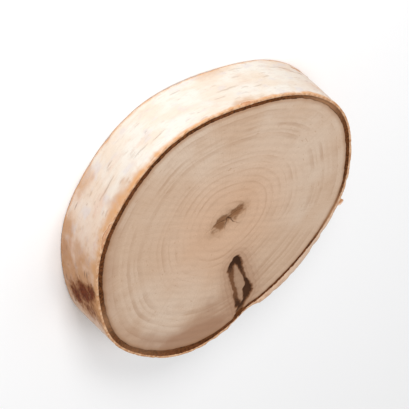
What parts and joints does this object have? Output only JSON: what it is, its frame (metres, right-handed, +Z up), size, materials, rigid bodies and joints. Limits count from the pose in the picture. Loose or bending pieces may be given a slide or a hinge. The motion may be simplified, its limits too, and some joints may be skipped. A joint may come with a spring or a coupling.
{
  "type": "wood slice",
  "caption": "Round slice sawn across a birch branch, with flat faces, a small pith, a knot at the rim and pale papery bark round the edge.",
  "frame": {"origin": "middle of the underside, in the plane that the slice lies on", "axes": "+Z up out of the upper cut face, the one with the knot; the knot is towards +Y, and -Y and +X are plain bark"},
  "size_m": [0.0723, 0.0746, 0.013],
  "materials": {
    "wood": "sawn, matt",
    "bark": "papery, matt"
  },
  "bodies": {
    "root": {"wood_slice": "wood"}
  },
  "joints": []
}
